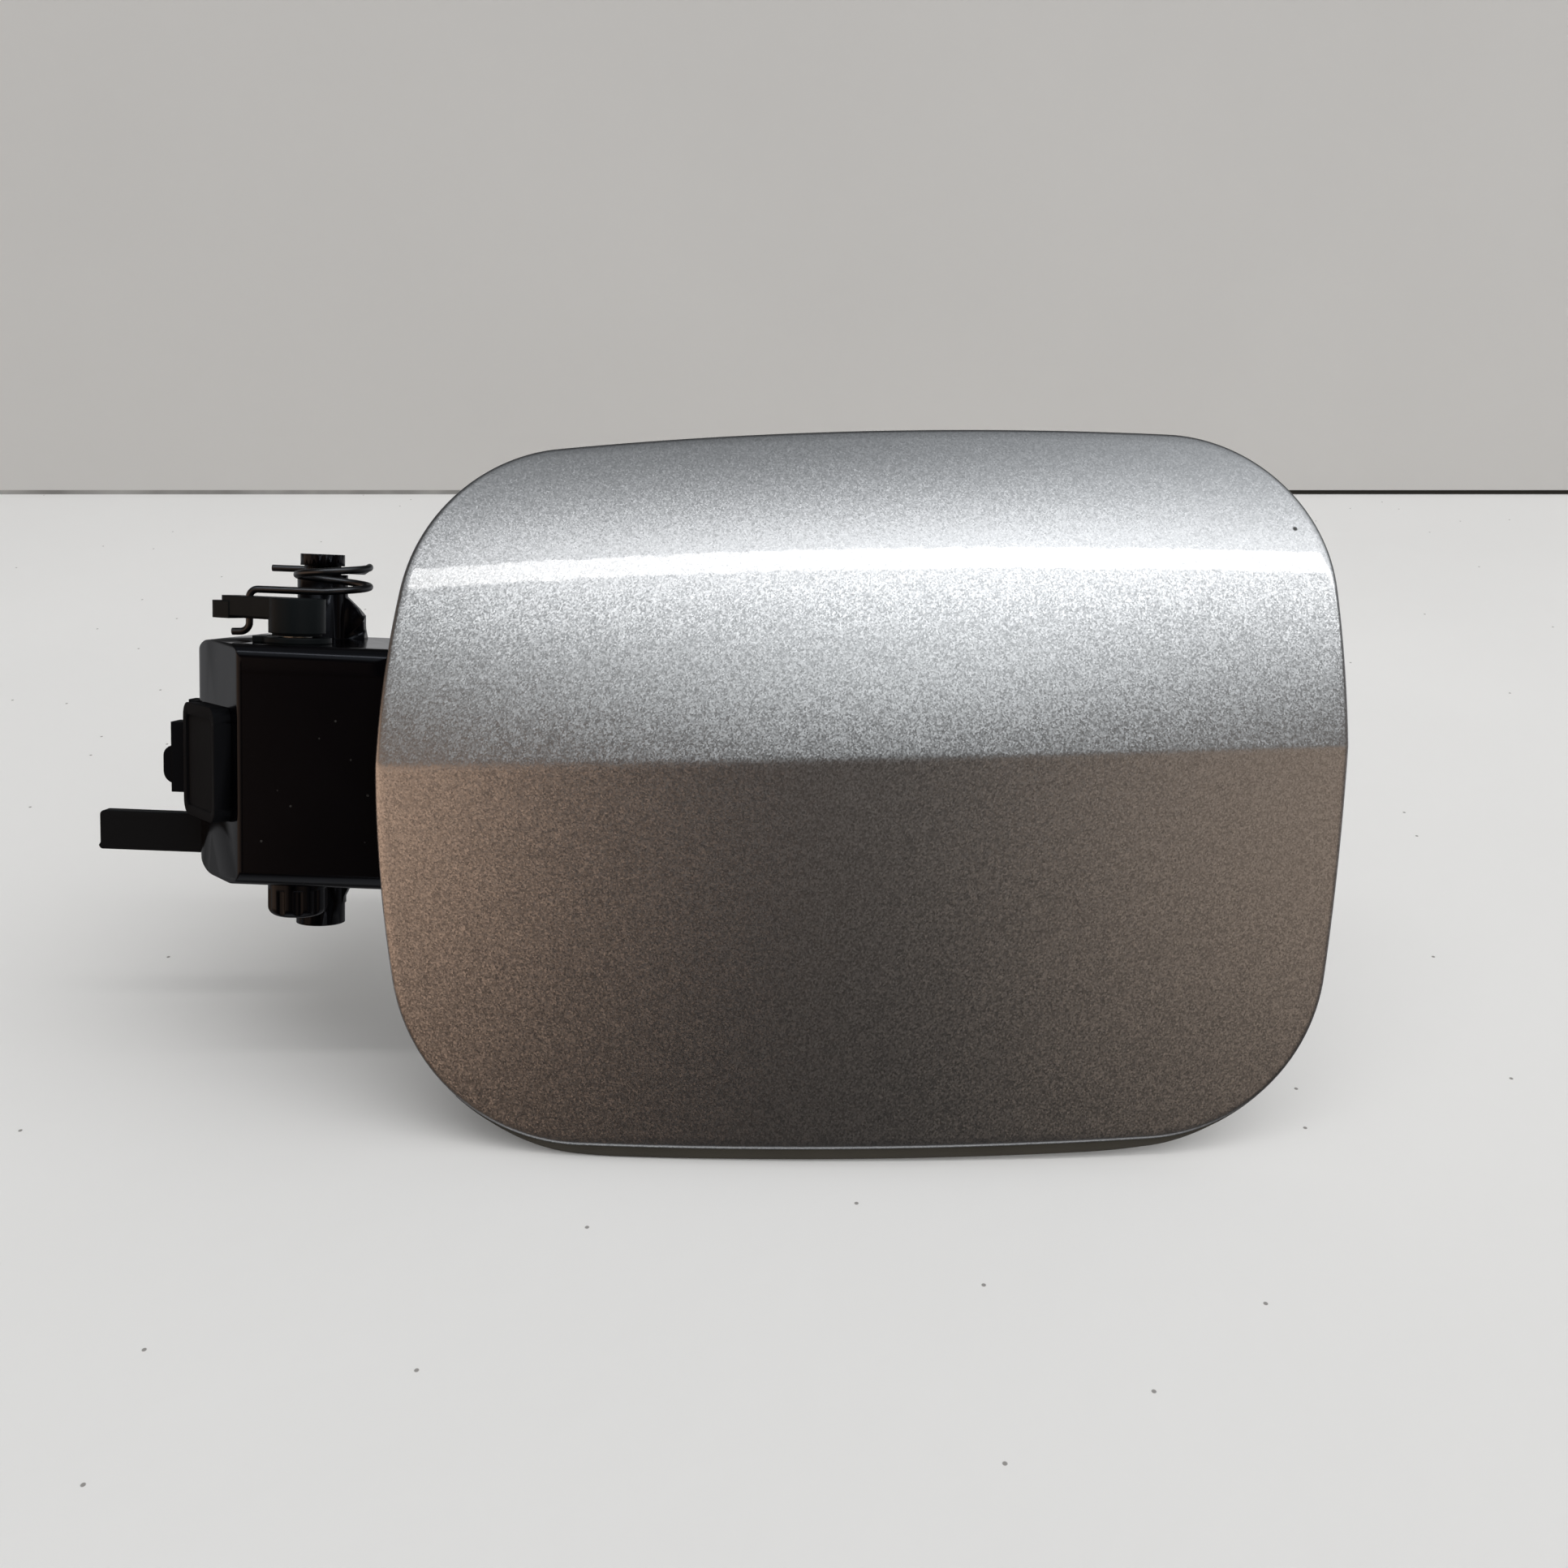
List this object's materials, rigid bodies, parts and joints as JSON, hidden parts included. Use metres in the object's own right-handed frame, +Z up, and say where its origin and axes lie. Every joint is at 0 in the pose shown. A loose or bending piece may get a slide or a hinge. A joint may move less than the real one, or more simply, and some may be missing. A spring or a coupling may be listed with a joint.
{
  "type": "car fuel door",
  "caption": "Curved, creased painted flap on a gooseneck arm that swings out of a moulded hinge housing, held open or shut by an over-centre wire spring.",
  "frame": {"origin": "centre of the flat back face of the hinge housing, where it is fixed", "axes": "+X towards the flap's free edge, +Y into the car body, +Z up along the hinge axis"},
  "size_m": [0.2576, 0.0619, 0.1461],
  "materials": {
    "paint": "silver metallic clear coat",
    "painted_inner": "thin silver overspray",
    "arm_plastic": "moulded, satin",
    "satin_plastic": "moulded, satin",
    "gloss_black": "glossy moulded",
    "matte_black": "matte",
    "washer_plastic": "natural",
    "rubber": "matte",
    "spring_steel": "dark phosphated wire",
    "zinc_steel": "zinc plated"
  },
  "bodies": {
    "housing": {"hinge_housing": "gloss_black", "upper_bush": "satin_plastic", "lower_bush": "gloss_black", "side_retainer": "satin_plastic", "retainer_clip": "satin_plastic", "mounting_tongue": "matte_black", "arm_buffer": "rubber", "over_centre_spring": "spring_steel"},
    "door": {"outer_skin": "paint", "inner_panel": "painted_inner", "gooseneck_arm": "arm_plastic", "arm_screws": "zinc_steel", "weld_nuts": "zinc_steel", "latch_striker": "zinc_steel", "striker_rivets": "zinc_steel", "bump_stop_upper": "rubber", "bump_stop_lower": "rubber", "cap_holder": "satin_plastic", "pivot_pin": "zinc_steel", "pin_circlip": "spring_steel", "thrust_washers": "washer_plastic", "spring_lever": "satin_plastic"}
  },
  "joints": [
    {"name": "door_hinge", "type": "hinge", "parent": "housing", "child": "door", "pos_m": [0, -0.036, 0], "axis": [0, 0, 1], "range_deg": [-100, 0], "deforming": ["over_centre_spring"]}
  ]
}
